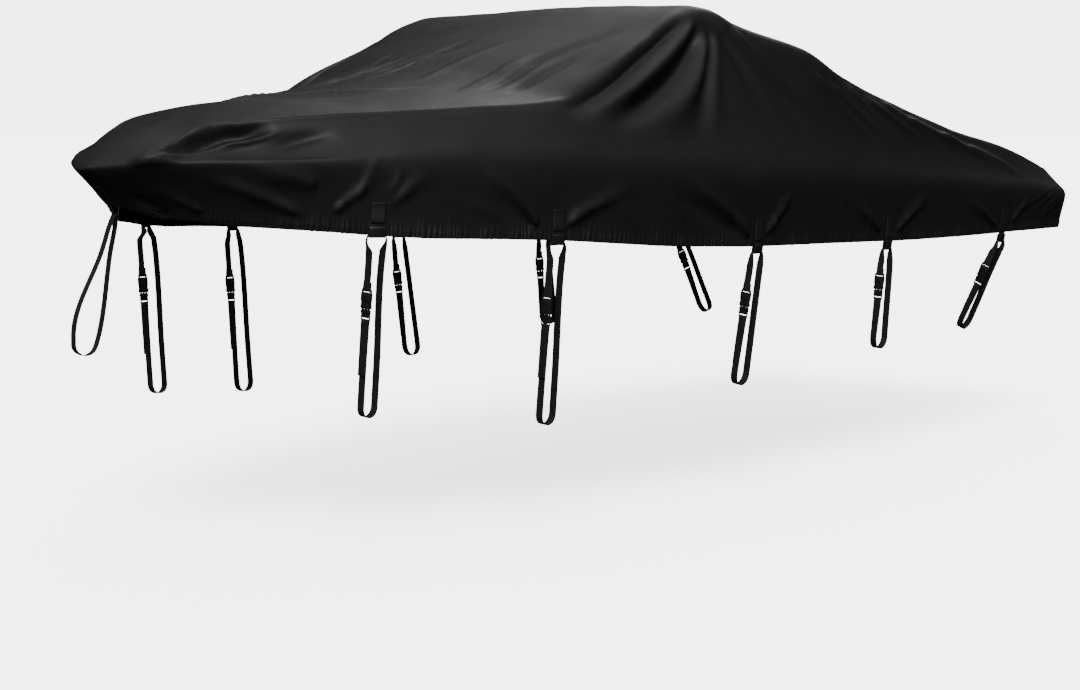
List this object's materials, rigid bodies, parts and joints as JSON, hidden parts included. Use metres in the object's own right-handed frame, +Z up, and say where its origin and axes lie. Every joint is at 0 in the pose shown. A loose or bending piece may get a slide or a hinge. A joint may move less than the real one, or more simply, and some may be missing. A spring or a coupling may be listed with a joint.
{
  "type": "boat cover",
  "caption": "Fitted boat cover of coated woven cloth: a peaked top, a gathered hem, and tie-down straps with side-release buckles.",
  "frame": {"origin": "underside of the cloth at the middle of its highest ridge", "axes": "+X towards the stern, +Y towards starboard, +Z up"},
  "size_m": [6.5663, 2.3601, 1.8664],
  "materials": {
    "cover_polyester": "matte woven polyester with a thin water-proof coating",
    "strap_webbing": "plain woven webbing",
    "moulded_plastic": "moulded plastic, slight sheen"
  },
  "bodies": {
    "root": {"cover": "cover_polyester", "tab_bow": "strap_webbing", "triangle_bow": "moulded_plastic", "strap_bow": "strap_webbing", "tab_port_1": "strap_webbing", "link_port_1": "moulded_plastic", "strap_port_1": "strap_webbing", "buckle_body_port_1": "moulded_plastic", "buckle_plug_port_1": "moulded_plastic", "tab_port_2": "strap_webbing", "link_port_2": "moulded_plastic", "strap_port_2": "strap_webbing", "buckle_body_port_2": "moulded_plastic", "buckle_plug_port_2": "moulded_plastic", "tab_port_3": "strap_webbing", "link_port_3": "moulded_plastic", "strap_port_3": "strap_webbing", "buckle_body_port_3": "moulded_plastic", "buckle_plug_port_3": "moulded_plastic", "tab_port_4": "strap_webbing", "link_port_4": "moulded_plastic", "strap_port_4": "strap_webbing", "buckle_body_port_4": "moulded_plastic", "buckle_plug_port_4": "moulded_plastic", "tab_port_5": "strap_webbing", "link_port_5": "moulded_plastic", "strap_port_5": "strap_webbing", "buckle_body_port_5": "moulded_plastic", "buckle_plug_port_5": "moulded_plastic", "tab_starboard_1": "strap_webbing", "link_starboard_1": "moulded_plastic", "strap_starboard_1": "strap_webbing", "buckle_body_starboard_1": "moulded_plastic", "buckle_plug_starboard_1": "moulded_plastic", "tab_starboard_2": "strap_webbing", "link_starboard_2": "moulded_plastic", "strap_starboard_2": "strap_webbing", "buckle_body_starboard_2": "moulded_plastic", "buckle_plug_starboard_2": "moulded_plastic", "tab_starboard_3": "strap_webbing", "link_starboard_3": "moulded_plastic", "strap_starboard_3": "strap_webbing", "buckle_body_starboard_3": "moulded_plastic", "buckle_plug_starboard_3": "moulded_plastic", "tab_starboard_4": "strap_webbing", "link_starboard_4": "moulded_plastic", "strap_starboard_4": "strap_webbing", "buckle_body_starboard_4": "moulded_plastic", "buckle_plug_starboard_4": "moulded_plastic", "tab_starboard_5": "strap_webbing", "link_starboard_5": "moulded_plastic", "strap_starboard_5": "strap_webbing", "buckle_body_starboard_5": "moulded_plastic", "buckle_plug_starboard_5": "moulded_plastic"}
  },
  "joints": []
}
